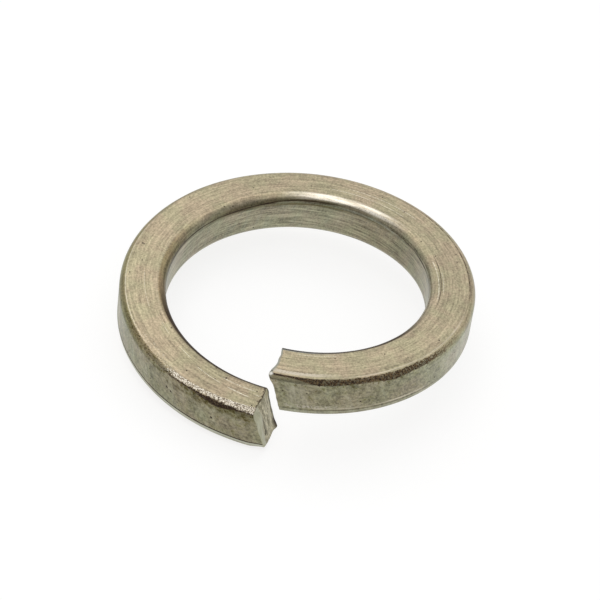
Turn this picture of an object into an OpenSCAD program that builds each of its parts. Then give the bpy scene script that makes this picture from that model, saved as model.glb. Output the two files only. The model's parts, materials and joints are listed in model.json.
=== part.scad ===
// Split spring lock washer: one turn of rounded rectangular wire, coiled left-handed and cut
// through. The bore's axis is +Z, the gap is at -Y, and the low end's lowest point is at z = 0.

/* [Bore] */
// Diameter of the bore that clears the bolt
bore_d = 28; // [20:0.1:40]

/* [Wire] */
// Width of the wire, from the bore to the rim
wire_w = 5; // [3:0.1:8]
// Height of the wire at the bore, where coiling thickens it
inner_h = 5; // [3:0.1:8]
// Height of the wire at the rim, where coiling thins it
outer_h = 4.5; // [3:0.1:8]
// Radius of the two rounded edges at the bore
inner_edge_r = 1; // [0.3:0.05:1.4]
// Radius of the rounded upper edge at the rim
outer_top_edge_r = 0.8; // [0.3:0.05:1.4]
// Radius of the rounded lower edge at the rim
outer_base_edge_r = 0.4; // [0.2:0.05:1.4]

/* [Coil] */
// How much higher the high end stands than the low end
end_offset = 5.9; // [1:0.1:12]
// Gap between the two cut ends, along the middle of the wire
end_gap = 0.95; // [0.5:0.05:4]

/* [Cut] */
// Lean of the cut from upright, seen on the rim
cut_lean = 16; // [0:1:30]
// Skew of the cut from radial, seen from above
cut_skew = 5; // [0:1:20]
// How far the low end bulges, and the high end hollows, in the middle of the cut
cut_bow = 0.2; // [0:0.05:0.5]

/* [Hidden] */

// Sections along the coil, and steps round one edge of the bore and one of the rim
coil_steps = 108;
inner_edge_steps = 6;
outer_edge_steps = 4;
// Steps across the upper and the lower face, which let the bow of the cut show
face_steps = 4;
// The roundings start this many degrees off the walls, so that the walls cut them cleanly
edge_lead = 12;
// Spare width that the coiled wire has past each wall before the walls are cut
wall_stock = 0.4;
wall_facets = 180;
// Room above and below the coil for the wall cuts
cut_room = 2;

bore_r = bore_d / 2;
rim_r = bore_r + wire_w;
mid_r = bore_r + wire_w / 2;
// Slope of the upper and the lower face from the bore down to the thinner rim
face_slope = atan((inner_h - outer_h) / 2 / wire_w);

function arc_angle(length, r) = length / r * 180 / PI;

gap_angle = arc_angle(end_gap, mid_r);
coil_angle = 360 - gap_angle;

// Half height of the wire at radius r
function face_z(r) = inner_h / 2 - (r - bore_r) * tan(face_slope);

// Points round an edge of radius e whose centre is at radius r, from angle a to angle b
function rounded_edge(r, e, a, b, steps) =
    let (centre = [r, face_z(r) - e / cos(face_slope)])
    [for (i = [0:steps]) let (t = a + (b - a) * i / steps) centre + e * [cos(t), sin(t)]];

// Points strictly between a and b
function between(a, b, steps) = [for (i = [1:steps - 1]) a + (b - a) * i / steps];

// One side of the wire's section as [radius, height over its middle], from the rim to the bore,
// with a rounding of radius e at the rim
function section_side(e) =
    let (
        rim_edge = rounded_edge(rim_r - e, e, edge_lead, 90 - face_slope, outer_edge_steps),
        bore_edge = rounded_edge(bore_r + inner_edge_r, inner_edge_r,
            90 - face_slope, 180 - edge_lead, inner_edge_steps)
    )
    concat(rim_edge, between(rim_edge[outer_edge_steps], bore_edge[0], face_steps), bore_edge);

// The whole section: its upper side, then its lower side back to the rim
upper_side = section_side(outer_top_edge_r);
base_side = section_side(outer_base_edge_r);
lower_side = [for (i = [len(base_side) - 1:-1:0]) [base_side[i].x, -base_side[i].y]];
section = concat([[rim_r + wall_stock, 0]], upper_side, [[bore_r - wall_stock, 0]], lower_side);
points_round = len(section);

// How far the cut passes a point of the section, along the coil from the cut's middle
function cut_reach(p) =
    let (across = (p.x - mid_r) / (wire_w / 2))
    p.y * tan(cut_lean) + (p.x - mid_r) * tan(cut_skew) - cut_bow * (1 - across * across);
function cut_turn(p) = arc_angle(cut_reach(p), p.x);

// Climb of the coil after a turn of a degrees
function climb(a) = end_offset * a / coil_angle;

base_z = -min([for (p = section) p.y + climb(cut_turn(p))]);

// Place of a section point after a turn of a degrees, clockwise from the gap as seen from above
function coil_point(p, a) =
    let (turn = a + cut_turn(p), place = turn + gap_angle / 2)
    [-p.x * sin(place), -p.x * cos(place), base_z + p.y + climb(turn)];

// The wire swept along the helix, with its two cut ends
module coiled_wire() {
    points = [
        for (i = [0:coil_steps], p = section) coil_point(p, coil_angle * i / coil_steps)
    ];
    sides = [
        for (i = [0:coil_steps - 1], j = [0:points_round - 1])
            let (
                near = i * points_round,
                far = near + points_round,
                k = (j + 1) % points_round
            )
            each [[near + j, far + j, far + k], [near + j, far + k, near + k]]
    ];
    // Each end is a ladder of triangles between the upper and the lower side
    upper = len(upper_side);
    low_end = concat(
        [for (i = [0:upper - 1]) [i, i + 1, points_round - i - 1]],
        [for (i = [1:upper]) [i, points_round - i - 1, points_round - i]]
    );
    last = coil_steps * points_round;
    high_end = [for (t = low_end) [last + t[0], last + t[2], last + t[1]]];
    polyhedron(points = points, faces = concat(sides, low_end, high_end));
}

// The round space between the bore and the rim
module wall_ring() {
    height = base_z * 2 + end_offset + climb(gap_angle) + cut_room * 2;
    translate([0, 0, -cut_room]) difference() {
        cylinder(r = rim_r, h = height, $fn = wall_facets);
        translate([0, 0, -cut_room])
            cylinder(r = bore_r, h = height + cut_room * 2, $fn = wall_facets);
    }
}

module lock_washer() {
    color([0.45, 0.4, 0.29]) intersection() {
        wall_ring();
        coiled_wire();
    }
}

lock_washer();
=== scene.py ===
"""Looks of the split spring lock washer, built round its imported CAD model.

The visible washer is one swept mesh of the same coil, with worn roundings, a sheared face at each
end and a procedural steel. Sizes are in millimetres until a mesh is made, where MM turns them
into metres. The bore's axis is +Z, and the gap between the ends is at -Y.

A place on the wire is given along it, from the low end at mid radius; across it, from the bore;
and up, from its middle. Two arcs go round the section instead: down the rim from the rim's upper
edge, and down the bore from the bore's upper edge.
"""

import json
import math

import bpy
import numpy as np
from mathutils import Matrix, Vector, noise


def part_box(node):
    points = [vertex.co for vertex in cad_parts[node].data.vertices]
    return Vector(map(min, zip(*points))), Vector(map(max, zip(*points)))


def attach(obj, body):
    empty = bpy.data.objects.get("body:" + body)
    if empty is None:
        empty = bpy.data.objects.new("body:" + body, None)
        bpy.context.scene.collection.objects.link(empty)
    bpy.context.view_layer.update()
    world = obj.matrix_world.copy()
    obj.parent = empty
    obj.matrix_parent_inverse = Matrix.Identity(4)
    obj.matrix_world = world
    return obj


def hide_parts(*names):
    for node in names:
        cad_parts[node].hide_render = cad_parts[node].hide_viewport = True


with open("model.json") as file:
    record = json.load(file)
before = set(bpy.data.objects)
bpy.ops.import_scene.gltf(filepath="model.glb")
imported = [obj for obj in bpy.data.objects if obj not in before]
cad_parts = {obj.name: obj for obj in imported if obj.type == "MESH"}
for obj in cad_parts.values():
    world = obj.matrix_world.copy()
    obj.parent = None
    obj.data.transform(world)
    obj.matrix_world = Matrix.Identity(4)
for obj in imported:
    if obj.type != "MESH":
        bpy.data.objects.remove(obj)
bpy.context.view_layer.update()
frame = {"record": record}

MM = 0.001
NODE = "lock_washer"

# The washer. The bore and the rim come from the frame, and the rest repeats the CAD source.
bore_mount = frame["record"]["mounts"][0]
bore_r = bore_mount["dims"]["r_mm"]
rim_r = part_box(NODE)[1].x / MM
inner_h = 5.0  # height of the wire at the bore
outer_h = 4.5  # and at the rim, where coiling thins it
end_offset = 5.9  # how much higher the high end stands
end_gap = 0.95  # between the cut ends, along the middle of the wire
cut_lean = math.radians(16)  # lean of the cut from upright
cut_skew = math.radians(5)  # skew of the cut from radial
cut_bow = 0.2  # bulge of the low end in the middle of the cut
bore_edge_r = 1.0  # roundings at the bore
rim_top_edge_r = 0.8  # and at the rim, above
rim_base_edge_r = 0.4  # and below

# The mesh
coil_rings = 700
end_rings = 44  # extra rings close to each end
end_reach = 7.0  # length of wire that the extra rings share
end_crowding = 1.5  # above 1, they crowd towards the cut
edge_steps = 11  # points round each rounding
top_steps = 19  # steps across the upper face
wall_steps = 15  # and across the bore's wall and the rim
base_steps = 10  # and across the lower face
foot_steps = 3  # and on the rim below the groove
burr_r = 0.07  # break of the edge between the wire and a cut face
burr_room = 1.5  # no ring of the wire comes closer to a cut, in burr radii
burr_steps = 4
cut_rings = 20  # rings from the edge of a cut face to its middle

# Relief
seed_shift = 17.3  # sets the noises of different seeds apart
wave_size, wave_depth = 6.0, 0.014  # gentle unevenness of the whole wire
dent_size, dent_depth = 1.3, 0.005
ridge_size, ridge_depth = 0.5, 0.004  # ridges that drawing left along the wire
ridge_stretch = 0.04
peen_size, peen_depth = 0.36, 0.03  # hammered texture near the low end
peen_sink = 0.3  # its middle height, in depths below the rest
peen_arc, peen_soft = (-0.35, 0.5), 0.15  # where it lies down the rim
peen_fade = 12, 17  # and along the wire
groove_up, groove_width, groove_depth = -1.6, 0.10, 0.03  # line along the rim, low down
groove_low_fade = 22, 34
groove_high_fade, groove_high_share = (80, 90), 0.5
hair = 0.01  # closer to the rim than this counts as on it

# The shear at the ends: "back" is how far a part of a cut stands back from the plain cut
shear_reach = 0.9  # length of wire that the shear pulled out of shape
rag_size, rag_depth = 0.55, 0.05  # ragged line where the cut meets the wire
rag_back = 0.6  # how far it stands back, in depths
low_top_back = 0.24  # upper rim side of the low end
low_bore_back = 0.10  # its bore side
low_foot_back = -0.14  # its lower rim corner, which stands out
high_bore_back = 0.14  # upper bore side of the high end
spur, spur_reach = 0.34, 0.85  # the low end's lower bore corner, dragged out to a point
spur_across, spur_up, spur_squeeze = 0.8, -2.4, 0.8
ear = 0.34  # the high end's upper rim corner, dragged out to a point
rollover_reach, rollover_rise = 1.5, 0.28  # the low end's lower rim corner, drawn up

# The torn and the smooth part of each cut face
fracture_depth = 0.09  # how far the torn part lies behind the smooth part
fracture_rough = 0.45  # its unevenness, in depths
streak_size, chip_size, chip_share = 0.4, 0.2, 0.5
smooth_cut_from = 3.55  # across the wire from the bore, where the smooth part starts
smooth_cut_taper = 0.35  # how much narrower it is at the bottom
smooth_cut_soft = 0.25
wander_size, wander_reach = 0.9, 0.25  # of the line between the two
cut_rim_soft = 0.05, 0.35  # distance from the edge over which the relief sets in

# The camera
view_azimuth = math.radians(-3.203)
view_elevation = math.radians(40.897)
view_roll = math.radians(8.016)
view_distance = 300.0
view_aim = Vector((0.479, 0.0, 4.971))
lens_mm = 167.4
sensor_mm = 36.0
nearest_m = 0.01

wire_w = rim_r - bore_r
mid_r = bore_r + wire_w / 2
face_slope = math.atan((inner_h - outer_h) / 2 / wire_w)
coil_angle = 2 * math.pi - end_gap / mid_r
wire_length = coil_angle * mid_r


def ramp(value, low, high):
    """0 at low to 1 at high, eased at both ends."""
    share = np.clip((value - low) / (high - low), 0, 1)
    return share * share * (3 - 2 * share)


def band(value, low, high, soft):
    """1 between low and high, and 0 beyond a soft edge on each side."""
    return ramp(value, low - soft, low + soft) * (1 - ramp(value, high - soft, high + soft))


# ---------------------------------------------------------------- the wire's section


def face_height(r):
    """Height of the upper face over the wire's middle, at radius r."""
    return inner_h / 2 - (r - bore_r) * math.tan(face_slope)


def rounding(r, radius, start, end):
    """Points round an edge whose centre is at radius r, between two angles."""
    centre = np.array([r, face_height(r) - radius / math.cos(face_slope)])
    turns = np.linspace(start, end, edge_steps)
    return centre + radius * np.stack([np.cos(turns), np.sin(turns)], 1)


def between(a, b, steps):
    """Points strictly between two points."""
    shares = np.linspace(0, 1, steps + 1)[1:-1, None]
    return a + (b - a) * shares


def mirrored(points):
    """The same points below the wire's middle, in the order that goes on round the section."""
    return points[::-1] * [1, -1]


def section_outline():
    """The section as [radius, height over its middle], from the rim's upper edge to the bore."""
    up = math.pi / 2 - face_slope
    rim_top = rounding(rim_r - rim_top_edge_r, rim_top_edge_r, 0, up)
    bore_top = rounding(bore_r + bore_edge_r, bore_edge_r, up, math.pi)
    bore_base = mirrored(bore_top)
    rim_base = mirrored(rounding(rim_r - rim_base_edge_r, rim_base_edge_r, 0, up))
    groove = np.array([[rim_r, groove_up + groove_width * k] for k in (-1, 0, 1)])
    parts = [
        rim_top,
        between(rim_top[-1], bore_top[0], top_steps),
        bore_top,
        between(bore_top[-1], bore_base[0], wall_steps),
        bore_base,
        between(bore_base[-1], rim_base[0], base_steps),
        rim_base,
        between(rim_base[-1], groove[0], foot_steps),
        groove,
        between(groove[-1], rim_top[0], wall_steps - foot_steps - 1),
    ]
    return np.concatenate(parts)


def outline_normals(outline):
    """Outward normals of a closed outline that runs anticlockwise."""
    along = np.roll(outline, -1, 0) - np.roll(outline, 1, 0)
    along /= np.linalg.norm(along, axis=1)[:, None]
    return np.stack([along[:, 1], -along[:, 0]], 1)


def outline_arcs(outline):
    """Length round the outline from each upper edge: down the rim, and down the bore's wall."""
    steps = np.linalg.norm(np.roll(outline, -1, 0) - outline, axis=1)
    places = np.concatenate([[0], np.cumsum(steps[:-1])])
    total = steps.sum()
    rim_start = places[edge_steps - 1]
    bore_start = places[edge_steps + top_steps - 1]
    down_rim = (rim_start - places + total / 2) % total - total / 2
    down_bore = (places - bore_start + total / 2) % total - total / 2
    return np.stack([down_rim, down_bore], 1)


# ---------------------------------------------------------------- the coil


def cut_reach(place):
    """How far the cut passes a section point, along the coil."""
    across = (place[..., 0] - mid_r) / (wire_w / 2)
    lean = place[..., 1] * math.tan(cut_lean)
    skew = (place[..., 0] - mid_r) * math.tan(cut_skew)
    return lean + skew - cut_bow * (1 - across**2)


def climb(turn):
    return end_offset * turn / coil_angle


def coil_point(place, turn):
    """A section point after a turn, clockwise from the gap as seen from above."""
    turn = turn + cut_reach(place) / place[..., 0]
    round_axis = turn + end_gap / mid_r / 2
    r = place[..., 0]
    x = -r * np.sin(round_axis)
    y = -r * np.cos(round_axis)
    return np.stack([x, y, base_z + place[..., 1] + climb(turn)], -1)


outline = section_outline()
normals = outline_normals(outline)
arcs = outline_arcs(outline)
base_z = -np.min(outline[:, 1] + climb(cut_reach(outline) / outline[:, 0]))


def smooth_noise(points, size, seed):
    """Smooth noise from -1 to 1, with bumps about size across."""
    moved = points / size + seed * seed_shift
    return np.array([noise.noise(Vector(p)) for p in moved])


# ---------------------------------------------------------------- wear


def peened(along, down_rim):
    """Hammered and polished upper rim edge of the low end."""
    return band(down_rim, *peen_arc, peen_soft) * (1 - ramp(along, *peen_fade))


def relief(along, arc, points, coords):
    """Height of the worn surface over the smooth coil."""
    height = wave_depth * smooth_noise(points, wave_size, 1)
    height += dent_depth * smooth_noise(points, dent_size, 2)
    height += ridge_depth * smooth_noise(coords * [ridge_stretch, 1, 1], ridge_size, 3)
    facets = smooth_noise(points, peen_size, 4) - peen_sink
    height += peen_depth * peened(along, arc[:, 0]) * facets
    on_rim = coords[:, 1] > wire_w - hair
    in_groove = on_rim & (np.abs(coords[:, 2] - groove_up) / groove_width < 0.5)
    low_end = 1 - ramp(along, *groove_low_fade)
    high_end = groove_high_share * ramp(along, *groove_high_fade)
    return height - groove_depth * in_groove * np.maximum(low_end, high_end)


def shear_back(coords, low):
    """How far each point of an end stands back from the plain cut, as the shear left it."""
    across, up = coords[:, 1], coords[:, 2]
    low_back = low_top_back * ramp(up, 1.2, 2.2) * ramp(across, 1.6, 3.6)
    low_back += low_bore_back * (1 - ramp(across, 0.5, 1.5)) * band(up, -2.0, 1.2, 0.4)
    low_back += low_foot_back * ramp(-up, -0.5, 1.5) * ramp(across, 3.4, 4.8)
    from_spur = np.hypot(across - spur_across, (up - spur_up) * spur_squeeze)
    low_back -= spur * (1 - ramp(from_spur, 0.0, spur_reach))
    high_back = high_bore_back * ramp(up, 0.8, 1.8) * (1 - ramp(across, 1.5, 2.6))
    high_back -= ear * ramp(across, 2.8, 4.3) * ramp(up, 1.0, 2.2)
    face = coords * [0, 1, 1]
    rag = smooth_noise(face, rag_size, 5) * low + smooth_noise(face, rag_size, 6) * (1 - low)
    return np.where(low, low_back, high_back) + rag_depth * (rag_back + rag)


def rollover(coords, from_end, low):
    """How far the low end's lower rim corner is drawn up."""
    near = low * (1 - ramp(from_end, 0, rollover_reach))
    return rollover_rise * near * ramp(-coords[:, 2], 1.0, 2.2) * ramp(coords[:, 1], 3.4, 4.8)


def cut_relief(coords, low):
    """Where a cut is torn, not smooth, and how far it lies back there."""
    wander = wander_reach * smooth_noise(coords * [0, 1, 0.6], wander_size, 7)
    from_bore = coords[:, 1] + wander - smooth_cut_taper * ramp(-coords[:, 2], -1.5, 2.0)
    across = np.where(low, from_bore, wire_w - from_bore)
    torn = 1 - ramp(across, smooth_cut_from - smooth_cut_soft, smooth_cut_from + smooth_cut_soft)
    rough = smooth_noise(coords * [0, 1, 0.35], streak_size, 8)
    rough = rough + chip_share * smooth_noise(coords * [0, 1, 1], chip_size, 9)
    return torn, torn * fracture_depth * (1 + fracture_rough * rough)


def edge_room(coords):
    """0 at the edge of a cut face to 1 a little way in."""
    from_side = np.minimum(coords[:, 1], wire_w - coords[:, 1])
    from_face = inner_h / 2 - np.abs(coords[:, 2])
    return ramp(np.minimum(from_side, from_face), *cut_rim_soft)


# ---------------------------------------------------------------- the mesh


def ring_turns():
    """Turns of the rings along the coil, closer together near the cut ends."""
    body = np.linspace(0, wire_length, coil_rings)
    close = np.linspace(0, 1, end_rings + 1)[1:] ** end_crowding * end_reach
    places = np.concatenate([body, close, wire_length - close])
    places = np.unique(np.round(places, 4))
    nearest = burr_r * burr_room
    places = places[(places > nearest) & (places < wire_length - nearest)]
    return places / mid_r


def burr_ring(step):
    """Distance from the cut face and inset of one ring round the broken edge."""
    angle = math.pi / 2 * step / burr_steps
    return burr_r * (1 - math.sin(angle)), burr_r * (1 - math.cos(angle))


def washer_rings():
    """Every ring of the mesh from the middle of the low cut face to the middle of the high one.

    Each is its inset from the outline, its turn along the coil, the share of a cut face it stands
    for, and how far it has closed in on the middle of the face.
    """
    shares = np.linspace(0, 1, cut_rings + 1)[1:-1]
    rings = [(burr_r, 0.0, 1.0, share) for share in shares[::-1]]
    for step in range(burr_steps, -1, -1):
        back, inset = burr_ring(step)
        rings.append((inset, back / mid_r, step / burr_steps, 0.0))
    rings += [(0.0, turn, 0.0, 0.0) for turn in ring_turns()]
    for step in range(burr_steps + 1):
        back, inset = burr_ring(step)
        rings.append((inset, coil_angle - back / mid_r, step / burr_steps, 0.0))
    rings += [(burr_r, coil_angle, 1.0, share) for share in shares]
    return rings


def ring_points(inset, closing):
    """Section points of one ring, with their outward normals and their arcs."""
    centre = np.array([mid_r, 0.0])
    place = centre + (outline - normals * inset - centre) * (1 - closing)
    return np.hstack([place, normals, arcs])


def washer_faces(rings, points):
    """Quads between neighbouring rings, and a fan of triangles at the middle of each cut face."""
    i, j = np.meshgrid(np.arange(rings - 1), np.arange(points), indexing="ij")
    near, far = i * points, (i + 1) * points
    k = (j + 1) % points
    quads = np.stack([near + j, far + j, far + k, near + k], -1)
    faces = quads.reshape(-1, 4).tolist()
    last = (rings - 1) * points
    low_centre = rings * points
    high_centre = low_centre + 1
    for j in range(points):
        k = (j + 1) % points
        faces.append([low_centre, j, k])
        faces.append([high_centre, last + k, last + j])
    return faces


def add_attribute(mesh, name, kind, values):
    layer = mesh.attributes.new(name, kind, "POINT")
    field = "vector" if kind == "FLOAT_VECTOR" else "value"
    layer.data.foreach_set(field, np.asarray(values, np.float32).ravel())


def build_washer():
    rings = washer_rings()
    count = len(outline)
    table = np.concatenate([ring_points(inset, closing) for inset, _, _, closing in rings])
    turn = np.repeat([ring[1] for ring in rings], count)
    cut = np.repeat([ring[2] for ring in rings], count)
    centres = np.zeros((2, table.shape[1]))
    centres[:, 0] = mid_r
    table = np.concatenate([table, centres])
    place, away, arc = table[:, 0:2], table[:, 2:4], table[:, 4:6]
    turn = np.concatenate([turn, [0.0, coil_angle]])
    cut = np.concatenate([cut, [1.0, 1.0]])

    along = turn * mid_r
    coords = np.stack([along, place[:, 0] - bore_r, place[:, 1]], 1)
    low = along < wire_length / 2
    from_end = np.where(low, along, wire_length - along)

    raised = relief(along, arc, coil_point(place, turn), coords) * (1 - cut)
    place = place + away * raised[:, None]
    place[:, 1] += rollover(coords, from_end, low)

    # The wire turns into the cut face over the broken edge, where cut rises from 0 to 1
    torn, depth = cut_relief(coords, low)
    back = depth * ramp(cut, 0.9, 1.0) * edge_room(coords)
    back = back + shear_back(coords, low) * (1 - ramp(from_end, 0, shear_reach))
    turn = turn + np.where(low, 1, -1) * back / mid_r

    points = coil_point(place, turn)
    points[:, 2] = np.maximum(points[:, 2], 0.0)

    mesh = bpy.data.meshes.new("washer")
    mesh.from_pydata((points * MM).tolist(), [], washer_faces(len(rings), count))
    mesh.shade_smooth()
    add_attribute(mesh, "wire_place", "FLOAT_VECTOR", coords)
    add_attribute(mesh, "edge_arc", "FLOAT_VECTOR", np.column_stack([arc, np.zeros(len(arc))]))
    add_attribute(mesh, "facing", "FLOAT", np.abs(away[:, 1]))
    add_attribute(mesh, "cut", "FLOAT", ramp(cut, 0.5, 1.0))
    add_attribute(mesh, "torn", "FLOAT", torn)
    mesh.validate()
    washer = bpy.data.objects.new("spring_washer", mesh)
    bpy.context.scene.collection.objects.link(washer)
    return washer


# ---------------------------------------------------------------- shader nodes


class Nodes:
    """Short calls that add one shader node or a few each and return the output socket."""

    def __init__(self, tree):
        self.tree = tree

    def add(self, kind, inputs=(), **settings):
        node = self.tree.nodes.new(kind)
        for name, value in settings.items():
            setattr(node, name, value)
        for key, value in dict(inputs).items():
            if isinstance(value, bpy.types.NodeSocket):
                self.tree.links.new(value, node.inputs[key])
            else:
                node.inputs[key].default_value = value
        return node

    def math(self, operation, a, b=0.0, c=0.0):
        return self.add("ShaderNodeMath", {0: a, 1: b, 2: c}, operation=operation).outputs[0]

    def attribute(self, name, output="Fac"):
        return self.add("ShaderNodeAttribute", attribute_name=name).outputs[output]

    def parts(self, name):
        """The three parts of an attribute. Its Color output keeps Cycles from building every
        mask before the first noise, which is more than its shaders can hold at once."""
        return self.add("ShaderNodeSeparateXYZ", {0: self.attribute(name, "Color")}).outputs

    def stretch(self, vector, scale):
        return self.add("ShaderNodeMapping", {"Vector": vector, "Scale": scale}).outputs["Vector"]

    def noise(self, vector, scale, detail=2.0, roughness=0.5):
        inputs = {"Vector": vector, "Scale": scale, "Detail": detail, "Roughness": roughness}
        return self.add("ShaderNodeTexNoise", inputs).outputs["Fac"]

    def range(self, value, low, high, to_low=0.0, to_high=1.0):
        """The value, mapped smoothly and held between the two ends."""
        inputs = {"Value": value, 1: low, 2: high, 3: to_low, 4: to_high}
        node = self.add("ShaderNodeMapRange", inputs, interpolation_type="SMOOTHSTEP")
        return node.outputs["Result"]

    def swing(self, noise, reach):
        """The middle half of a noise, as a change of up to the reach either way."""
        return self.range(noise, 0.25, 0.75, -reach, reach)

    def centred(self, noise, reach):
        """A noise about zero that spans the reach."""
        return self.math("MULTIPLY_ADD", noise, reach, -reach / 2)

    def above(self, value, level, soft):
        """1 where the value is over the level, with a soft edge."""
        return self.range(self.math("SUBTRACT", value, level), -soft, soft)

    def below(self, value, level, soft):
        return self.range(self.math("SUBTRACT", value, level), soft, -soft)

    def band(self, value, low, high, soft):
        return self.product(self.above(value, low, soft), self.below(value, high, soft))

    def apart(self, a, b):
        """How far apart two plain values are."""
        return self.math("ABSOLUTE", self.math("SUBTRACT", a, b))

    def rest(self, share):
        """What the share leaves of 1."""
        return self.math("SUBTRACT", 1.0, share)

    def product(self, first, *others):
        for other in others:
            first = self.math("MULTIPLY", first, other)
        return first

    def most(self, first, *others):
        for other in others:
            first = self.math("MAXIMUM", first, other)
        return first

    def total(self, first, *others):
        for other in others:
            first = self.math("ADD", first, other)
        return first

    def blend(self, share, a, b):
        """From a to b by the share, for plain values."""
        return self.add("ShaderNodeMix", {0: share, 2: a, 3: b}, data_type="FLOAT").outputs[0]

    def mix(self, factor, a, b, blend="MIX"):
        """From a to b by the factor, for colours."""
        inputs = {"Factor": factor, 6: a, 7: b}
        node = self.add("ShaderNodeMix", inputs, data_type="RGBA", blend_type=blend)
        return node.outputs[2]

    def times(self, colour, other):
        return self.mix(1.0, colour, other, "MULTIPLY")

    def scale(self, colour, factor):
        """The colour, made darker or brighter by a plain value."""
        inputs = {"Factor": factor, 6: BLACK, 7: colour}
        node = self.add("ShaderNodeMix", inputs, data_type="RGBA", clamp_factor=False)
        return node.outputs[2]

    def dim(self, colour, share, loss):
        """The colour, darker by the loss where the share is 1."""
        return self.scale(colour, self.math("MULTIPLY_ADD", share, -loss, 1.0))

    def darken(self, colour, share, film):
        """The colour, with a film over the given share of it."""
        return self.mix(share, colour, self.times(colour, film))

    def grey(self, value):
        return self.add("ShaderNodeCombineXYZ", {"X": value, "Y": value, "Z": value}).outputs[0]


def rgba(r, g, b):
    return (r, g, b, 1.0)


def new_material(name):
    material = bpy.data.materials.new(name)
    material.use_nodes = True
    material.node_tree.nodes.clear()
    return material, Nodes(material.node_tree)


# ---------------------------------------------------------------- colours and marks

BLACK = rgba(0.0, 0.0, 0.0)
WHITE = rgba(1.0, 1.0, 1.0)

# Bare steel
WARM_STEEL = rgba(0.450, 0.386, 0.268)
GREY_STEEL = rgba(0.383, 0.370, 0.274)
BORE_STEEL = rgba(0.315, 0.295, 0.215)
# Painted highlight: a lighter strip on the bore's wall just below its upper edge, at the back
LIT_BORE_LIP = rgba(0.52, 0.53, 0.46)
PINK_SHIFT = rgba(1.035, 0.99, 0.985)
OLIVE_SHIFT = rgba(0.96, 1.0, 0.94)
BLUE_SHIFT = rgba(0.97, 1.0, 1.04)

# Films and painted shade, which multiply the steel under them
OLIVE_FILM = rgba(0.62, 0.62, 0.50)
OLIVE_SPECK = rgba(0.60, 0.61, 0.48)
BROWN_FILM = rgba(0.60, 0.56, 0.42)
# Painted shade down the bore's upper rounding at the left and back, and a film on its wall at the
# right
BORE_FILM_AND_SHADE = rgba(0.64, 0.59, 0.50)
LIP_FILM = rgba(0.60, 0.61, 0.57)
STAIN_FILM = rgba(0.48, 0.45, 0.34)
# Partly a mottled film, partly painted shade: the rim's wall darker near both ends
WALL_FILM_AND_SHADE = rgba(0.66, 0.62, 0.56)
LEFT_FILM = rgba(0.62, 0.62, 0.48)
# Painted shade: the rim below its upper edge darker close to the high end, by the gap
GAP_SHADE = rgba(0.55, 0.57, 0.52)

# Worn and marked places, and painted highlights
# Painted highlight on the bore's upper edge at the back
BACK_HIGHLIGHT = rgba(0.86, 0.81, 0.71)
# Painted glints on the bright hammered facets near the low end
FACET_GLINT = rgba(0.98, 0.92, 0.80)
FACET_DULL = rgba(0.50, 0.42, 0.30)
CRACK = rgba(0.09, 0.065, 0.045)
# Scratches, and a painted highlight along the rim's upper edge at the left
CREAM = rgba(0.92, 0.87, 0.70)
GLINT = rgba(0.98, 0.97, 0.90)
# A painted highlight on the rim's upper edge at the right and the high end, and a pale line low on
# the rim
PALE_EDGE = rgba(0.66, 0.59, 0.47)
BLUE_EDGE = rgba(0.30, 0.31, 0.27)
BLUE_DARK = rgba(0.23, 0.25, 0.24)
SMEAR = rgba(0.43, 0.395, 0.32)
PALE_STRIP = rgba(0.50, 0.51, 0.42)
OXIDE = rgba(0.030, 0.015, 0.007)
OXIDE_PALE = rgba(0.18, 0.12, 0.055)

# Cut faces
SMOOTH_CUT = rgba(0.40, 0.395, 0.28)
CORNER = rgba(0.40, 0.36, 0.22)
TORN_PALE = rgba(0.62, 0.58, 0.43)
TORN_DARK = rgba(0.22, 0.20, 0.125)
TORN_SHADE = rgba(0.11, 0.10, 0.06)

# Scratches on the upper face: from and to, each along and across the wire, and half their width
scratches = [
    ((1.3, 2.64), (4.2, 2.40), 0.075),
    ((4.6, 2.36), (8.5, 2.06), 0.04),
    ((0.9, 1.60), (5.5, 1.55), 0.05),
    ((0.2, 2.12), (1.2, 2.10), 0.07),
    ((9.2, 1.70), (11.6, 1.62), 0.035),
    ((13.5, 1.62), (16.0, 1.58), 0.025),
    ((18.0, 2.20), (24.0, 2.45), 0.02),
    ((70.5, 0.80), (78.5, 1.05), 0.055),
    ((72.5, 1.40), (77.0, 1.50), 0.03),
    ((96.0, 1.15), (101.0, 1.20), 0.04),
    ((52.0, 2.10), (62.0, 2.05), 0.04),
    ((54.0, 2.80), (63.0, 2.90), 0.04),
]
scratch_fade_in, scratch_fade_out = 0.5, 0.8

# Pits: along and across the wire, up from its middle, and their radius
pits = [
    ((4.7, 1.4, 2.4), 0.13),
    ((5.6, 2.2, 2.4), 0.10),
    ((8.4, 3.3, 2.3), 0.11),
    ((27.7, 3.7, 2.3), 0.10),
    ((26.1, 3.2, 2.3), 0.08),
    ((23.2, 4.0, 2.3), 0.10),
    ((84.3, 3.7, 2.3), 0.12),
    ((9.6, 5.0, 0.3), 0.16),
    ((9.1, 5.0, 0.1), 0.14),
    ((4.6, 5.0, -0.1), 0.15),
    ((95.0, 5.0, -0.56), 0.10),
    ((86.6, 5.0, -0.9), 0.12),
]
other_pits_scale = 0.9  # about this many more to a millimetre, most of them left out
other_pits_chance = 0.55, 0.6
other_pits_size = 0.09, 0.05

# Spots on the cut faces: their place on the wire, and their radius
low_cut_hollow = (0.0, 3.3, -1.2), 0.42
high_corner_glint = (wire_length - 0.16, 4.46, 2.12), 0.23
high_corner_dot = (wire_length - 0.12, 4.12, 2.27), 0.08

# How strongly the finish changes
STEEL_ROUGHNESS = 0.28, 0.42
SHINE_ROUGHNESS = -0.07
DULL_ROUGHNESS = 0.22
PEEN_ROUGHNESS = 0.12
BUMP_DEPTH = 0.03 * MM
BUMP_STRENGTH = 0.7
STEEL_SPECULAR = 0.2


# ---------------------------------------------------------------- steel


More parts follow.
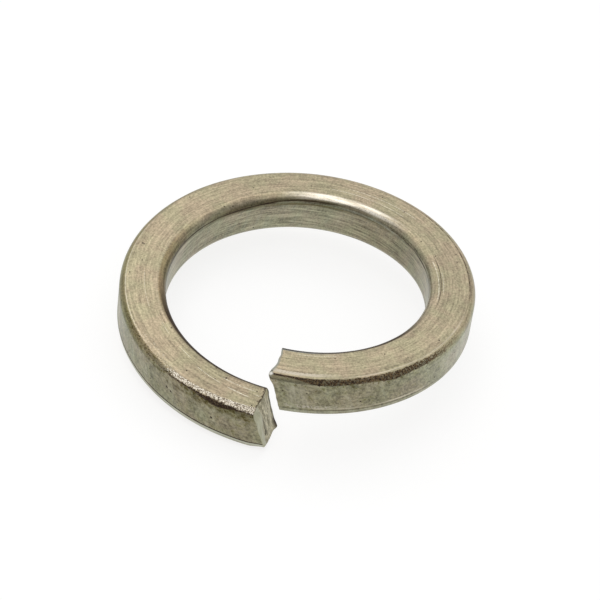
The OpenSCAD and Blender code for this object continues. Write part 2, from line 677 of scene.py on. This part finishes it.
class Steel:
    """The washer's own places and noises that several of its masks need.

    A mask is 1 where its mark is and 0 elsewhere. It multiplies places, in millimetres, with
    levels of the noises, which run from 0 to 1 and keep mostly between 0.3 and 0.7.
    """

    def __init__(self, n):
        place = self.place = n.attribute("wire_place", "Vector")
        parts = n.parts("wire_place")
        self.along, self.across, self.up = parts["X"], parts["Y"], parts["Z"]
        self.to_end = n.math("SUBTRACT", wire_length, self.along)
        arc = n.parts("edge_arc")

        # Noises, in bumps per millimetre. The stretched ones run on up or along the wire.
        self.blotch = n.noise(place, 0.35, 3.0, 0.6)
        self.spots = n.noise(place, 1.4, 3.0, 0.65)
        self.smear = n.noise(n.stretch(place, (1.0, 1.0, 0.3)), 1.3, 3.0, 0.6)
        self.drawn = n.noise(n.stretch(place, (0.045, 1.0, 1.0)), 2.6, 4.0, 0.65)
        self.lines = n.noise(n.stretch(place, (0.06, 1.0, 1.0)), 5.0, 2.0, 0.6)
        self.grain = n.noise(place, 4.2, 3.0, 0.7)
        self.specks = n.noise(place, 3.1, 2.0, 0.6)
        self.fine = n.noise(place, 8.0, 2.0, 0.6)
        self.mottle = n.total(n.product(self.spots, 0.45), n.product(self.grain, 0.55))

        # Places
        self.outer = n.range(self.across, 2.4, 2.6)
        self.inner = n.range(self.across, 2.6, 2.4)
        self.rim_arc = arc["X"]
        self.bore_arc = arc["Y"]
        self.down_rim = n.total(arc["X"], n.centred(self.mottle, 0.9))
        self.back = n.band(self.along, 45.0, 63.0, 4.0)
        higher = n.product(self.back, 0.34)  # the bore's dark line lies higher at the back
        self.down_bore = n.total(arc["Y"], n.centred(self.lines, 0.3), higher)
        self.wire = n.rest(n.attribute("cut"))
        self.on_wall = n.range(n.attribute("facing"), 0.95, 0.1)
        self.on_top = n.product(n.range(self.up, 1.9, 2.1), self.wire)
        self.rim_wall = n.product(self.on_wall, n.range(self.across, 4.3, 4.5), self.wire)
        self.bore_wall = n.product(self.on_wall, n.range(self.across, 0.6, 0.3), self.wire)


def drawn_steel(n, w):
    """Colour of the drawn wire, before films and marks."""
    colour = n.mix(w.on_wall, WARM_STEEL, GREY_STEEL)
    below_line = n.product(n.above(w.down_bore, 1.60, 0.06), w.inner, w.wire)
    colour = n.mix(n.most(w.bore_wall, below_line), colour, BORE_STEEL)
    # Painted highlight: a lit strip on the bore's wall just below its dark line, at the back
    lit = n.product(n.band(w.down_bore, 1.62, 1.84, 0.07), w.back, w.inner, w.wire)
    colour = n.mix(lit, colour, LIT_BORE_LIP)
    colour = n.times(colour, n.mix(n.range(w.blotch, 0.36, 0.64), PINK_SHIFT, OLIVE_SHIFT))
    hue = n.product(w.on_wall, n.range(w.smear, 0.50, 0.66))
    colour = n.mix(hue, colour, n.times(colour, BLUE_SHIFT))
    top = n.total(n.swing(w.drawn, 0.14), n.swing(w.lines, 0.20), n.swing(w.spots, 0.10))
    rim = n.total(
        n.range(w.smear, 0.30, 0.70, -0.15, 0.15),
        n.range(w.specks, 0.30, 0.70, -0.26, 0.22),
        n.swing(w.drawn, 0.07),
    )
    bore = n.total(n.swing(w.drawn, 0.30), n.swing(w.lines, 0.34), n.swing(w.spots, 0.12))
    shade = n.blend(w.bore_wall, n.blend(w.rim_wall, top, rim), bore)
    shade = n.total(1.0, shade, n.range(w.grain, 0.28, 0.72, -0.28, 0.28))
    return n.scale(colour, shade)


def stain_mask(n, w):
    """Small brown stains on the rim, thickest just below its upper edge near both ends."""
    low_end = n.range(w.along, 32.0, 10.0)
    near_ends = n.most(low_end, n.product(n.range(w.to_end, 30.0, 8.0), 0.8))
    spread = n.product(n.range(w.rim_arc, 2.8, 0.8, 0.25, 1.0), near_ends)
    level = n.math("MULTIPLY_ADD", spread, -0.16, 0.68)
    stained = n.above(w.mottle, level, 0.025)
    return n.product(stained, n.above(w.rim_arc, 0.3, 0.15), w.outer, w.wire)


def rim_films(n, w, colour):
    """Films and painted shade under the rim's upper edge, and on its wall near the ends and at the
    far left.
    """
    edge = n.product(n.band(w.rim_arc, 0.24, 1.2, 0.1), n.band(w.along, 11.0, 86.0, 4.0))
    edge = n.product(edge, n.range(w.along, 46.0, 66.0, 1.0, 0.35))
    colour = n.darken(colour, n.product(edge, w.outer, w.wire), OLIVE_FILM)

    # Partly a mottled film, partly painted shade: the rim's wall darker near both ends
    near_ends = n.most(n.range(w.along, 24.0, 6.0), n.range(w.to_end, 24.0, 8.0))
    wall = n.product(n.above(w.rim_arc, 0.95, 0.25), w.outer, near_ends, w.wire)
    wall = n.product(wall, n.range(w.spots, 0.32, 0.60, 0.6, 1.0))
    colour = n.darken(colour, wall, WALL_FILM_AND_SHADE)

    # Painted shade: the rim below its upper edge darker close to the high end, by the gap
    last = n.product(
        n.above(w.rim_arc, 0.28, 0.05),
        n.range(w.rim_arc, 1.0, 0.6),
        n.range(w.to_end, 7.0, 2.5),
    )
    colour = n.darken(colour, n.product(last, w.outer, w.wire), GAP_SHADE)

    left = n.product(n.range(w.fine, 0.44, 0.60), n.band(w.along, 14.0, 38.0, 5.0), w.rim_wall)
    colour = n.darken(colour, n.product(left, 0.8), LEFT_FILM)

    low = n.product(n.band(w.rim_arc, 0.6, 1.5, 0.25), n.range(w.along, 9.5, 5.0))
    low = n.product(low, w.outer, w.wire)
    low = n.product(low, n.range(w.mottle, 0.42, 0.56, 0.5, 1.0))
    colour = n.darken(colour, low, BROWN_FILM)
    return n.darken(colour, stain_mask(n, w), STAIN_FILM)


def bore_films(n, w, colour):
    """Films and painted shade on the bore's upper edge and wall, at the left, the back and the
    right.
    """
    bore = n.product(w.inner, w.wire)
    # Painted shade: darker as the bore's upper rounding turns down, at the left and the back
    left = n.product(n.band(w.along, 14.0, 32.0, 6.0), n.range(w.down_bore, 0.0, 0.3))
    back = n.product(n.band(w.along, 36.0, 56.0, 5.0), n.range(w.down_bore, 0.7, 1.3))
    share = n.product(n.most(left, back), n.below(w.bore_arc, 1.75, 0.12), bore)
    colour = n.darken(colour, share, BORE_FILM_AND_SHADE)

    below = n.product(n.range(w.bore_arc, 2.15, 1.6), n.above(w.down_bore, 1.6, 0.1))
    below = n.product(below, n.band(w.along, 34.0, 64.0, 6.0), bore)
    colour = n.darken(colour, below, LIP_FILM)

    right = n.product(w.bore_wall, n.band(w.along, 56.0, 70.0, 5.0), 0.5)
    return n.darken(colour, right, BORE_FILM_AND_SHADE)


def dirt(n, w, colour):
    """Dirt on the upper face near both ends, and olive specks on the rim."""
    near_ends = n.most(n.range(w.along, 15.0, 6.0), n.range(w.to_end, 14.0, 4.0, 0.0, 0.3))
    colour = n.dim(colour, n.product(w.on_top, near_ends), 0.14)
    speck = n.product(
        w.rim_wall,
        n.range(w.specks, 0.56, 0.66),
        n.range(w.spots, 0.45, 0.6, 0.3, 1.0),
    )
    return n.darken(colour, speck, OLIVE_SPECK)


def groove_ends(n, w, high_share):
    """Where the line low on the rim shows: near the low end, and faintly near the high one."""
    low_end = n.range(w.along, *reversed(groove_low_fade))
    return n.most(low_end, n.range(w.along, 78.0, 90.0, 0.0, high_share))


def rim_marks(n, w, colour):
    """The paler strip below the drawing line low on the rim, and scuffs near the high end."""
    ends = groove_ends(n, w, 0.35)
    strip = n.product(w.rim_wall, ends, n.range(w.up, groove_up, groove_up - 0.12))
    strip = n.product(strip, n.range(w.lines, 0.3, 0.6, 0.35, 0.9))
    colour = n.mix(strip, colour, PALE_STRIP)
    scuff = n.product(n.band(w.along, 99.9, 101.6, 0.3), n.band(w.up, -0.9, 1.5, 0.3))
    upright = n.noise(n.stretch(w.place, (1.0, 1.0, 0.06)), 6.0, 3.0, 0.6)
    scuff = n.product(scuff, n.range(upright, 0.36, 0.62, 0.1, 0.4))
    rough = n.product(n.band(w.along, 97.0, 102.0, 0.5), n.band(w.up, -1.35, -0.95, 0.12))
    rough = n.product(rough, n.range(w.mottle, 0.46, 0.56))
    light = n.product(n.band(w.along, 88.0, 99.6, 0.5), n.band(w.up, -1.42, -1.28, 0.04))
    light = n.product(light, n.range(w.lines, 0.35, 0.6, 0.2, 0.8), w.rim_wall)
    colour = n.mix(light, colour, PALE_EDGE)
    return n.mix(n.product(n.most(scuff, rough), w.rim_wall), colour, SMEAR)


def back_highlight_mask(n, w):
    """Painted highlight on the polished upper edge of the bore at the back."""
    back = n.product(n.band(w.bore_arc, 0.1, 0.9, 0.18), n.range(w.along, 45.5, 50.5), w.inner)
    back = n.product(back, n.range(w.along, 65.0, 58.0))
    back = n.product(
        back,
        n.range(w.lines, 0.3, 0.6, 0.25, 1.0),
        n.range(w.grain, 0.3, 0.5, 0.6, 1.0),
    )
    return n.product(back, w.wire)


def edge_highlights(n, w):
    """Painted highlights along the rim's upper edge, with some worn specks: thin lines on its left
    and right, and a band at the high end.
    """
    left = n.product(n.band(w.rim_arc, 0.12, 0.18, 0.04), n.band(w.along, 14.0, 32.0, 2.0))
    left = n.product(
        left,
        n.range(w.specks, 0.34, 0.5, 0.5, 1.0),
        n.range(w.along, 30.0, 22.0, 0.6, 1.0),
    )
    worn = n.product(n.band(w.rim_arc, -0.6, 0.35, 0.15), n.band(w.along, 9.0, 15.0, 1.5))
    left = n.most(left, n.product(worn, n.above(w.fine, 0.61, 0.03), 0.5))
    right = n.product(n.band(w.rim_arc, -0.06, 0.06, 0.05), n.band(w.along, 80.0, 96.0, 3.0))
    right = n.product(right, n.range(w.lines, 0.35, 0.6, 0.2, 0.7))
    arc = n.total(w.rim_arc, n.centred(w.mottle, 0.4))
    end = n.product(n.band(arc, -0.50, -0.06, 0.07), n.range(w.to_end, 7.0, 2.6))
    end = n.product(end, n.range(w.grain, 0.36, 0.56, 0.5, 1.0))
    side = n.product(w.outer, w.wire)
    return n.product(left, side), n.product(n.most(right, end), side)


def bluish_edge(n, w, colour):
    """Bluish rounding along the bore at the high end, and along the top of its cut."""
    edge = n.product(n.band(w.bore_arc, 0.18, 1.5, 0.1), n.range(w.to_end, 9.0, 2.0))
    colour = n.mix(n.product(edge, w.inner, w.wire), colour, BLUE_DARK)
    cut_line = n.product(
        w.on_top,
        n.range(w.to_end, 0.30, 0.16),
        n.range(w.mottle, 0.4, 0.5, 0.3, 0.9),
    )
    return n.mix(cut_line, colour, BLUE_EDGE)


def rim_oxide(n, w):
    """Dark oxide on the rim's upper edge at both ends, breaking up into stains below."""
    widen = n.range(w.to_end, 1.5, 4.5)
    arc = n.total(w.rim_arc, n.product(n.centred(w.mottle, 0.9), widen))
    high_from = n.math("MULTIPLY_ADD", widen, 0.10, 0.14)
    high_to = n.math("MULTIPLY_ADD", widen, 0.56, 0.36)
    high_to = n.total(high_to, n.range(w.to_end, 5.5, 8.0, 0.0, -0.08))
    high_to = n.total(high_to, n.product(n.band(w.to_end, 10.5, 12.5, 1.5), 0.30))
    fade = n.range(n.total(w.fine, n.range(w.to_end, 27.0, 10.0, -0.30, 0.22)), 0.44, 0.56)
    high = n.product(n.band(arc, high_from, high_to, 0.05), fade)

    low_from = n.range(w.along, 5.0, 9.0, 0.40, 0.62)
    low_to = n.range(w.along, 5.0, 9.0, 0.62, 0.76)
    low_to = n.total(low_to, n.product(n.band(w.along, 3.0, 5.0, 2.0), 0.55))
    low = n.product(n.band(w.down_rim, low_from, low_to, 0.05), n.range(w.along, 14.0, 8.0))

    patchy = n.most(n.range(w.grain, 0.38, 0.48, 0.35, 1.0), n.range(w.to_end, 4.0, 2.5))
    patchy = n.most(patchy, n.range(w.along, 7.0, 5.0, 0.0, 0.75))
    core = n.product(n.most(high, low), patchy)
    specks = n.product(n.band(w.rim_arc, 0.1, 0.9, 0.2), n.band(w.along, 9.0, 18.0, 2.0))
    specks = n.product(specks, n.below(w.fine, 0.40, 0.03), 0.9)
    right = n.product(n.band(w.rim_arc, 0.0, 0.14, 0.06), n.band(w.along, 60.0, 78.0, 4.0))
    right = n.product(right, n.range(w.mottle, 0.42, 0.54))
    return n.product(n.most(core, specks, right), w.outer)


def bore_dark_lines(n, w):
    """Dark lines where the bore's upper edge meets its wall, painting the dark reflection of the
    ring's shaded inside, and along a score on the right.
    """
    # Painted dark reflection of the ring's shaded inside, along the bore's upper edge
    line = n.product(
        n.band(w.down_bore, 1.42, 1.57, 0.06),
        n.range(w.grain, 0.30, 0.5, 0.5, 1.0),
    )
    back = n.range(w.along, 56.0, 51.0, 0.15, 1.0)
    line = n.product(line, n.most(back, n.range(w.along, 60.0, 70.0, 0.0, 0.8)))
    near = n.most(n.range(w.along, 24.0, 16.0), n.range(w.along, 80.0, 88.0))
    edge = n.product(n.band(w.down_bore, 0.32, 1.5, 0.12), near, 0.95)
    score = n.product(n.band(w.across, 1.15, 1.25, 0.03), n.band(w.along, 70.0, 79.0, 2.0))
    score = n.product(score, w.on_top)
    score = n.product(score, n.range(w.lines, 0.35, 0.55, 0.3, 0.8))
    return n.product(n.most(line, edge, score), w.inner)


def end_oxide_and_shade(n, w):
    """Dark, ragged rim of the low cut, painted shade on its spur, and the line low on the rim."""
    wander = n.product(w.mottle, 1.4)
    ragged = n.total(w.along, wander, n.range(w.across, 2.0, 0.4, 0.0, -0.15))
    cut_edge = n.product(
        n.range(ragged, 0.92, 0.76),
        w.on_top,
        n.range(w.fine, 0.38, 0.54, 0.45, 0.9),
    )
    # Painted shade on the low end's spur, which faces down
    spur_shade_spot = n.product(
        n.range(w.along, 0.9, 0.1),
        n.range(w.across, 1.2, 0.7),
        n.range(w.up, -1.6, -2.0),
    )
    off_line = n.apart(w.up, groove_up)
    ends = groove_ends(n, w, 0.3)
    line = n.product(w.rim_wall, ends, n.range(off_line, groove_width, groove_width * 0.3))
    line = n.product(line, n.range(w.drawn, 0.3, 0.5, 0.5, 0.95))
    return n.most(cut_edge, spur_shade_spot, line)


def oxide_colour(n, w):
    """Black scale with brown in it, which differs along the high end and is black in the bore,
    where it mostly paints a dark reflection.
    """
    high_end = n.range(w.to_end, 5.0, 9.0, -0.02, 0.03)
    brown = n.total(w.fine, high_end, n.range(w.along, 12.0, 7.0, 0.0, -0.08))
    bore = n.product(w.inner, -0.14)
    brown = n.total(brown, bore, n.range(w.to_end, 11.0, 15.0, 0.0, -0.03))
    return n.mix(n.range(brown, 0.47, 0.62), OXIDE, OXIDE_PALE)


def peened_mask(n, w):
    """The hammered band of the low end."""
    inner_edge = n.range(w.along, 0.0, 9.0, -0.42, 0.06)
    outer_edge = n.range(w.along, 0.0, 3.0, 0.50, 0.38)
    outer_edge = n.total(outer_edge, n.range(w.along, 5.0, 9.0, 0.0, 0.16))
    arc = n.total(w.rim_arc, n.centred(w.grain, 0.3))
    mask = n.product(n.band(arc, inner_edge, outer_edge, 0.06), w.outer, w.wire)
    level = n.range(w.along, 6.5, 11.5, 0.20, 0.75)
    return n.product(mask, n.above(w.fine, level, 0.05))


def facet_colour(n, w):
    """Hammered facets: bright ones with painted glints, duller ones, and dark cracks between them.
    """
    dull = n.mix(n.range(w.fine, 0.40, 0.46), CRACK, FACET_DULL)
    return n.mix(n.range(w.fine, 0.46, 0.58), dull, FACET_GLINT)


def scratch_mask(n, w):
    """1 along the scratches on the upper face, broken up by the grain."""
    scratch = 0.0
    for start, end, width in scratches:
        slope = (end[1] - start[1]) / (end[0] - start[0])
        line = n.math("MULTIPLY_ADD", w.along, slope, start[1] - slope * start[0])
        mask = n.range(n.apart(w.across, line), width, width * 0.4)
        fade_in = n.range(w.along, start[0], start[0] + scratch_fade_in)
        fade_out = n.range(w.along, end[0], end[0] - scratch_fade_out)
        mask = n.product(mask, fade_in, fade_out, n.range(w.up, 1.9, 2.0))
        scratch = n.most(mask, scratch)
    return n.product(scratch, n.range(w.grain, 0.42, 0.54, 0.3, 1.0), w.wire)


def spot_mask(n, w, where, radius):
    """1 close to one place on the wire."""
    away = n.add("ShaderNodeVectorMath", {0: w.place, 1: where}, operation="DISTANCE")
    return n.range(away.outputs["Value"], radius, radius * 0.5)


def pit_mask(n, w):
    """1 in the pits seen on the washer and in others of their kind."""
    pit = 0.0
    for where, radius in pits:
        pit = n.most(spot_mask(n, w, where, radius), pit)
    inputs = {"Vector": w.place, "Scale": other_pits_scale, "Randomness": 1.0}
    cells = n.add("ShaderNodeTexVoronoi", inputs)
    chance = n.add("ShaderNodeSeparateXYZ", {0: cells.outputs["Color"]}).outputs["X"]
    others = n.range(cells.outputs["Distance"], *other_pits_size)
    others = n.product(others, n.range(chance, *other_pits_chance))
    return n.product(n.most(pit, others), w.wire)


def torn_part(n, w, streaks):
    """Colour of the torn part of a cut, with streaks that run down it."""
    torn_mix = n.range(n.total(streaks, n.product(w.grain, 0.5)), 0.58, 0.86)
    colour = n.mix(torn_mix, TORN_DARK, TORN_PALE)
    colour = n.scale(colour, n.range(w.specks, 0.3, 0.7, 0.75, 1.2))
    hollow = n.product(n.band(w.across, 2.9, 3.5, 0.35), n.band(w.up, -1.5, 0.6, 0.4))
    colour = n.dim(colour, hollow, 0.35)
    bore_side = n.product(n.range(w.across, 0.60, 0.20), n.range(w.up, -1.9, -1.0), 0.8)
    thin = n.product(n.range(w.across, 0.28, 0.10), 0.9)
    low_end = n.range(w.along, 2.0, 1.0)
    corner = n.product(n.range(w.across, 1.7, 1.0), n.range(w.up, 1.0, 1.5), low_end)
    colour = n.mix(corner, colour, n.scale(CORNER, n.range(w.grain, 0.3, 0.7, 0.8, 1.2)))
    colour = n.mix(n.product(n.most(bore_side, thin), low_end), colour, TORN_SHADE)
    dark_spot = spot_mask(n, w, *low_cut_hollow)
    dark_spot = n.product(dark_spot, n.range(w.grain, 0.35, 0.6, 0.5, 1.0))
    return n.mix(dark_spot, colour, TORN_SHADE)


def cut_colour(n, w, torn, streaks):
    """Colour of both cut faces: a torn part, a smooth part, and painted shade on the low end's
    spur.
    """
    torn_colour = torn_part(n, w, streaks)
    smooth_colour = n.scale(SMOOTH_CUT, n.range(w.grain, 0.3, 0.7, 0.88, 1.10))
    smooth_colour = n.scale(smooth_colour, n.range(streaks, 0.3, 0.7, 0.88, 1.08))
    # Painted shade on the low end's spur, which faces down
    spur_shade = n.product(
        n.range(w.across, 1.5, 0.6),
        n.range(w.up, -1.3, -2.1),
        n.range(w.along, 2.0, 1.0),
    )
    colour = n.mix(torn, smooth_colour, torn_colour)
    return n.mix(spur_shade, colour, OXIDE)


def steel_material():
    material, n = new_material("spring_steel")
    w = Steel(n)
    torn = n.attribute("torn")
    cut = n.attribute("cut")
    colour = rim_films(n, w, drawn_steel(n, w))
    colour = rim_marks(n, w, dirt(n, w, bore_films(n, w, colour)))

    back_highlight = back_highlight_mask(n, w)
    # Painted highlight on the bore's upper edge at the back
    colour = n.mix(back_highlight, colour, BACK_HIGHLIGHT)
    left_highlight, bright = edge_highlights(n, w)
    # Painted highlights along the rim's upper edge: cream at the left, pale at the right and the
    # high end
    colour = n.mix(n.product(left_highlight, 0.6), colour, CREAM)
    colour = n.mix(bright, colour, PALE_EDGE)
    colour = bluish_edge(n, w, colour)
    # Oxide, with painted shade on the low end's spur and a painted dark reflection in the bore
    oxide = n.product(n.most(rim_oxide(n, w), bore_dark_lines(n, w), end_oxide_and_shade(n, w)), w.wire)
    colour = n.mix(oxide, colour, oxide_colour(n, w))
    peened = peened_mask(n, w)
    # Hammered band, with painted glints on its bright facets
    colour = n.mix(peened, colour, facet_colour(n, w))
    scratch = scratch_mask(n, w)
    colour = n.mix(scratch, colour, CREAM)
    pit = pit_mask(n, w)
    colour = n.mix(pit, colour, OXIDE)

    streaks = n.noise(n.stretch(w.place, (0.2, 1.0, 0.3)), 2.6, 4.0, 0.75)
    colour = n.mix(cut, colour, cut_colour(n, w, torn, streaks))
    tip = n.product(
        cut,
        n.band(w.across, 3.9, 4.8, 0.1),
        n.range(w.up, 1.5, 1.8),
        n.range(w.to_end, 0.5, 0.3),
    )
    colour = n.mix(tip, colour, TORN_SHADE)
    glint = spot_mask(n, w, *high_corner_glint)
    colour = n.mix(glint, colour, GLINT)
    colour = n.mix(spot_mask(n, w, *high_corner_dot), colour, OXIDE)

    rough_cut = n.product(cut, torn)
    height = n.total(
        n.product(w.drawn, 0.5),
        n.product(w.grain, 0.5),
        n.product(w.lines, 0.35),
        n.product(w.bore_wall, w.lines),
        n.product(w.rim_wall, w.grain, 0.8),
        n.product(pit, -1.2),
        n.product(scratch, -0.4),
        n.product(peened, w.fine, 2.0),
        n.product(rough_cut, n.total(n.product(streaks, 2.0), w.grain)),
    )
    inputs = {"Height": height, "Distance": BUMP_DEPTH, "Strength": BUMP_STRENGTH}
    bump = n.add("ShaderNodeBump", inputs)

    roughness = n.range(w.grain, 0.2, 0.8, *STEEL_ROUGHNESS)
    dull = n.most(oxide, pit, rough_cut)
    polished = n.product(back_highlight, SHINE_ROUGHNESS)
    roughness = n.total(roughness, polished, n.product(dull, DULL_ROUGHNESS))
    roughness = n.total(roughness, n.product(peened, PEEN_ROUGHNESS))
    plain = n.most(oxide, n.product(peened, 0.6), n.product(bright, 0.5), pit)
    plain = n.most(plain, n.product(n.most(glint, scratch), 0.7))
    inputs = {
        "Base Color": colour,
        "Metallic": n.rest(plain),
        "Roughness": roughness,
        "Specular IOR Level": STEEL_SPECULAR,
        "Normal": bump.outputs[0],
    }
    shader = n.add("ShaderNodeBsdfPrincipled", inputs)
    n.add("ShaderNodeOutputMaterial", {"Surface": shader.outputs[0]})
    return material


# ---------------------------------------------------------------- studio

floor_half_m = 3.0
FLOOR_DIFFUSE = rgba(0.27, 0.27, 0.27)
FLOOR_GLOW = 0.79

# Levels of the studio round the object, where 1 is white
RIGHT_LEVEL, LEFT_LEVEL = 0.45, 0.62
BEHIND_LOW, BEHIND_HIGH = 0.80, 1.30
FRONT_LOW, FRONT_HIGH = 0.16, 1.0
HORIZON = rgba(0.86, 0.86, 0.86)
SOFTBOX = rgba(1.75, 1.70, 1.62)

# The softbox, as sideways and backwards shares of its height: each edge fades over two of them
softbox_shift = 0.30
softbox_side = 0.28, 0.15
softbox_front = -0.75, -0.45
softbox_rear = 0.70, 0.54


def floor_material():
    """White floor: part of it is lit, which keeps the shadow, and part glows for the camera."""
    material, n = new_material("studio_floor")
    lit = n.add("ShaderNodeBsdfDiffuse", {"Color": FLOOR_DIFFUSE})
    path = n.add("ShaderNodeLightPath").outputs
    seen = n.most(path["Is Camera Ray"], path["Is Glossy Ray"], path["Is Transmission Ray"])
    glow = n.add("ShaderNodeEmission", {"Strength": n.product(seen, FLOOR_GLOW)})
    both = n.add("ShaderNodeAddShader", {0: lit.outputs[0], 1: glow.outputs[0]})
    n.add("ShaderNodeOutputMaterial", {"Surface": both.outputs[0]})
    return material


def build_floor():
    half = floor_half_m
    mesh = bpy.data.meshes.new("studio_floor")
    corners = [(-half, -half, 0), (half, -half, 0), (half, half, 0), (-half, half, 0)]
    mesh.from_pydata(corners, [], [(0, 1, 2, 3)])
    floor = bpy.data.objects.new("studio_floor", mesh)
    floor.data.materials.append(floor_material())
    bpy.context.scene.collection.objects.link(floor)


def build_world():
    """A softbox overhead, a bright wall behind, dimmer sides and a dark studio in front."""
    world = bpy.data.worlds.new("studio")
    bpy.context.scene.world = world
    world.use_nodes = True
    world.node_tree.nodes.clear()
    n = Nodes(world.node_tree)
    way = n.add("ShaderNodeTexCoord").outputs["Generated"]
    parts = n.add("ShaderNodeSeparateXYZ", {0: way}).outputs
    x, y, z = parts["X"], parts["Y"], parts["Z"]
    height = n.most(z, 0.02)
    over_x = n.math("DIVIDE", x, height)
    over_y = n.math("DIVIDE", y, height)

    sides = n.range(x, -0.3, 0.5, LEFT_LEVEL, RIGHT_LEVEL)
    behind = n.range(z, 0.35, 0.95, BEHIND_LOW, BEHIND_HIGH)
    level = n.mix(n.range(y, 0.0, 0.5), n.grey(sides), n.grey(behind))
    level = n.mix(n.range(z, 0.42, 0.22), level, HORIZON)

    # The dark studio in front fills a sector on the camera's side, and brightens towards the top
    towards = n.product(y, -1.0)
    flat = n.math("SQRT", n.total(n.product(x, x), n.product(y, y)))
    towards = n.math("DIVIDE", towards, n.most(flat, 0.01))
    front = n.product(
        n.range(towards, 0.45, 0.75),
        n.range(z, 0.10, 0.24),
        n.range(z, 0.99, 0.93),
    )
    level = n.mix(front, level, n.grey(n.range(z, 0.25, 0.90, FRONT_LOW, FRONT_HIGH)))

    # The softbox is a long rectangle overhead, a little to the left
    across = n.range(n.math("ABSOLUTE", n.total(over_x, softbox_shift)), *softbox_side)
    depth = n.product(n.range(over_y, *softbox_front), n.range(over_y, *softbox_rear))
    level = n.mix(n.product(across, depth), level, SOFTBOX)

    seen = n.add("ShaderNodeLightPath").outputs["Is Camera Ray"]
    level = n.mix(seen, level, WHITE)
    background = n.add("ShaderNodeBackground", {"Color": level, "Strength": 1.0})
    n.add("ShaderNodeOutputWorld", {"Surface": background.outputs[0]})


def build_camera():
    flat = math.cos(view_elevation)
    back = Vector(
        (-math.sin(view_azimuth) * flat, -math.cos(view_azimuth) * flat, math.sin(view_elevation))
    )
    right = (-back).cross(Vector((0, 0, 1))).normalized()
    down = (-back).cross(right)
    c, s = math.cos(view_roll), math.sin(view_roll)
    rolled_right = right * c - down * s
    rolled_down = right * s + down * c
    camera = bpy.data.cameras.new("camera")
    camera.lens = lens_mm
    camera.sensor_width = sensor_mm
    camera.clip_start = nearest_m
    holder = bpy.data.objects.new("camera", camera)
    turn = Matrix((rolled_right, -rolled_down, back)).transposed()
    holder.matrix_world = Matrix.Translation((view_aim + back * view_distance) * MM) @ turn.to_4x4()
    bpy.context.scene.collection.objects.link(holder)
    bpy.context.scene.camera = holder


washer = build_washer()
washer.data.materials.append(steel_material())
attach(washer, "root")
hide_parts(NODE)

build_floor()
build_world()
build_camera()

settings = bpy.context.scene.view_settings
settings.view_transform = "Standard"
